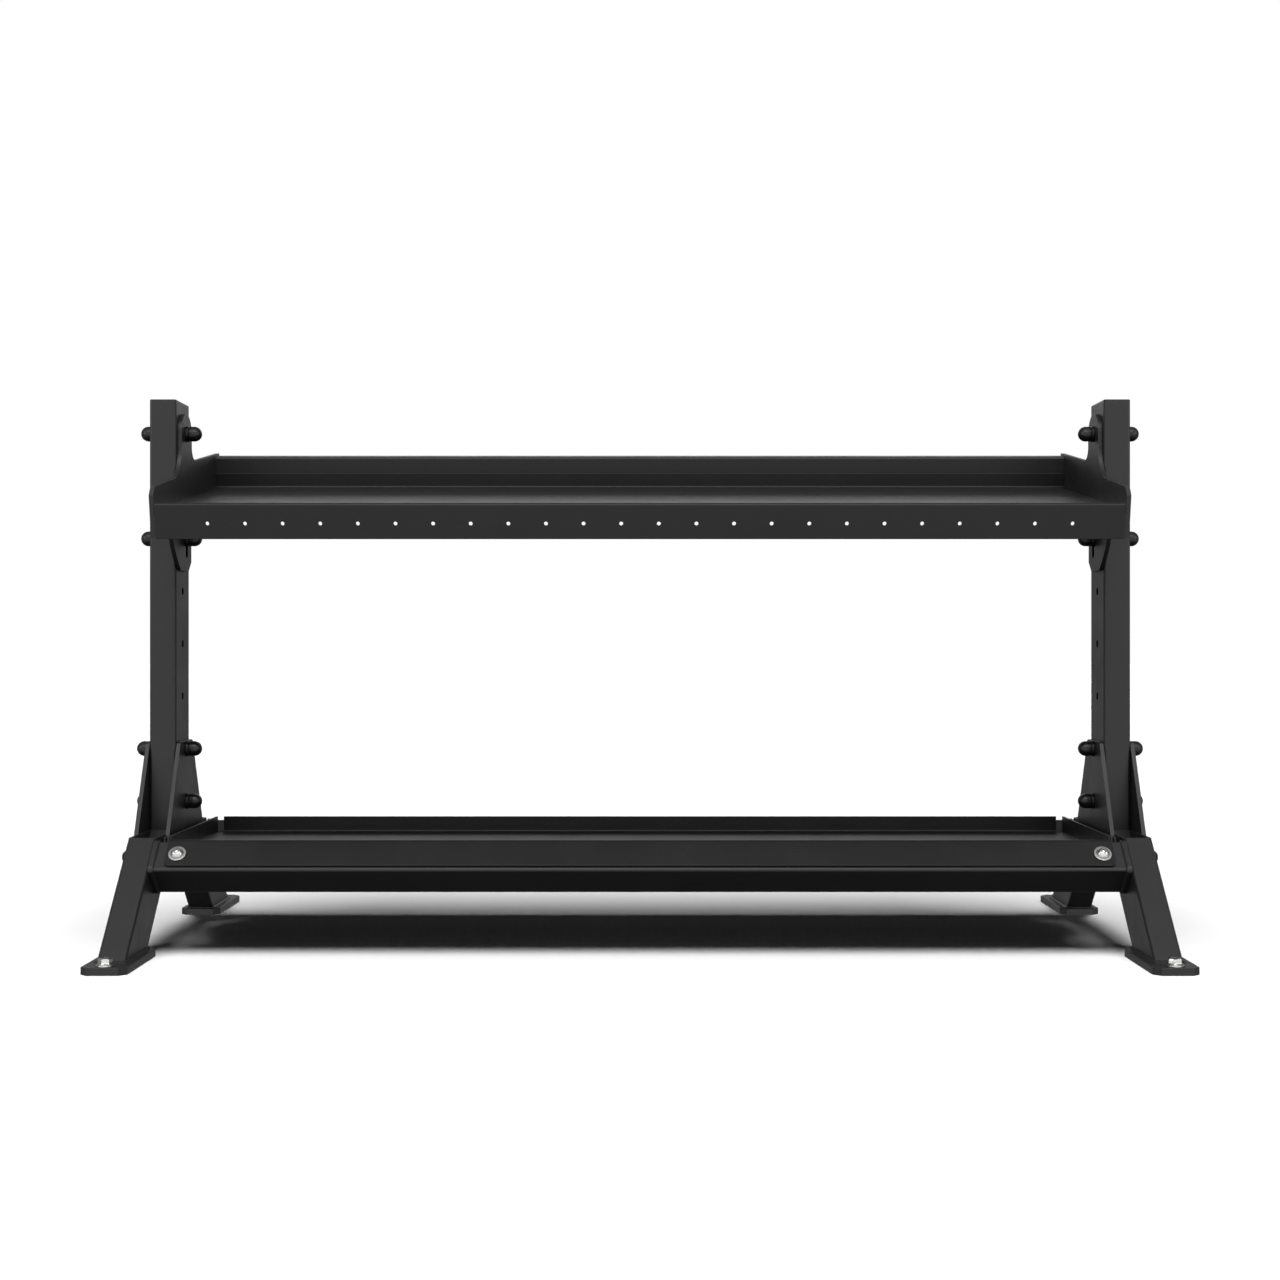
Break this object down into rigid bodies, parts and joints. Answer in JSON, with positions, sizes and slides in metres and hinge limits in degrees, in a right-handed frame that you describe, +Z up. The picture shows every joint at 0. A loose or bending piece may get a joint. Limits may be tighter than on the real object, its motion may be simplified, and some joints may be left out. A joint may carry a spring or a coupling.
{
  "type": "dumbbell rack",
  "caption": "Tiered steel dumbbell rack: a flat lower tray on corner-set beams and a tilted upper tray with a drilled lip, between punched posts on splayed legs.",
  "frame": {"origin": "middle of the footprint, on the floor", "axes": "+X along the shelves to the right as seen from the front, -Y towards the user at the front, +Z up"},
  "size_m": [1.4622, 0.653, 0.772],
  "materials": {
    "frame_powder_coat": "satin black powder coat with fine orange peel",
    "tray_powder_coat": "satin black powder coat on bent sheet steel",
    "moulded_black_plastic": "moulded black plastic, lightly textured",
    "bright_zinc_steel": "bright zinc-plated steel",
    "black_oxide_steel": "black oxide steel fasteners"
  },
  "bodies": {
    "root": {"base_bolt_nuts": "black_oxide_steel", "base_bolt_washers": "black_oxide_steel", "base_bolts": "black_oxide_steel", "beam_bolt_nuts": "black_oxide_steel", "beam_bolts": "black_oxide_steel", "foot_bolt_washers": "bright_zinc_steel", "foot_bolts": "bright_zinc_steel", "front_shelf_beam": "frame_powder_coat", "left_base_inner_bolt_caps": "moulded_black_plastic", "left_base_outer_bolt_caps": "moulded_black_plastic", "left_front_beam_flange": "frame_powder_coat", "left_front_foot_plate": "frame_powder_coat", "left_front_leg": "frame_powder_coat", "left_inner_gusset": "frame_powder_coat", "left_outer_gusset": "frame_powder_coat", "left_rear_beam_flange": "frame_powder_coat", "left_rear_foot_plate": "frame_powder_coat", "left_rear_leg": "frame_powder_coat", "left_tray_end_plate": "frame_powder_coat", "left_tray_inner_bolt_caps": "moulded_black_plastic", "left_tray_outer_bolt_caps": "moulded_black_plastic", "left_upright": "frame_powder_coat", "left_upright_cap": "moulded_black_plastic", "lower_shelf_tray": "tray_powder_coat", "rear_shelf_beam": "frame_powder_coat", "right_base_inner_bolt_caps": "moulded_black_plastic", "right_base_outer_bolt_caps": "moulded_black_plastic", "right_front_beam_flange": "frame_powder_coat", "right_front_foot_plate": "frame_powder_coat", "right_front_leg": "frame_powder_coat", "right_inner_gusset": "frame_powder_coat", "right_outer_gusset": "frame_powder_coat", "right_rear_beam_flange": "frame_powder_coat", "right_rear_foot_plate": "frame_powder_coat", "right_rear_leg": "frame_powder_coat", "right_tray_end_plate": "frame_powder_coat", "right_tray_inner_bolt_caps": "moulded_black_plastic", "right_tray_outer_bolt_caps": "moulded_black_plastic", "right_upright": "frame_powder_coat", "right_upright_cap": "moulded_black_plastic", "shelf_bolt_nuts": "bright_zinc_steel", "shelf_bolt_washers": "bright_zinc_steel", "shelf_bolts": "bright_zinc_steel", "tray_bolt_nuts": "black_oxide_steel", "tray_bolt_washers": "black_oxide_steel", "tray_bolts": "black_oxide_steel", "upper_tray": "tray_powder_coat", "upper_tray_beam": "frame_powder_coat"}
  },
  "joints": []
}
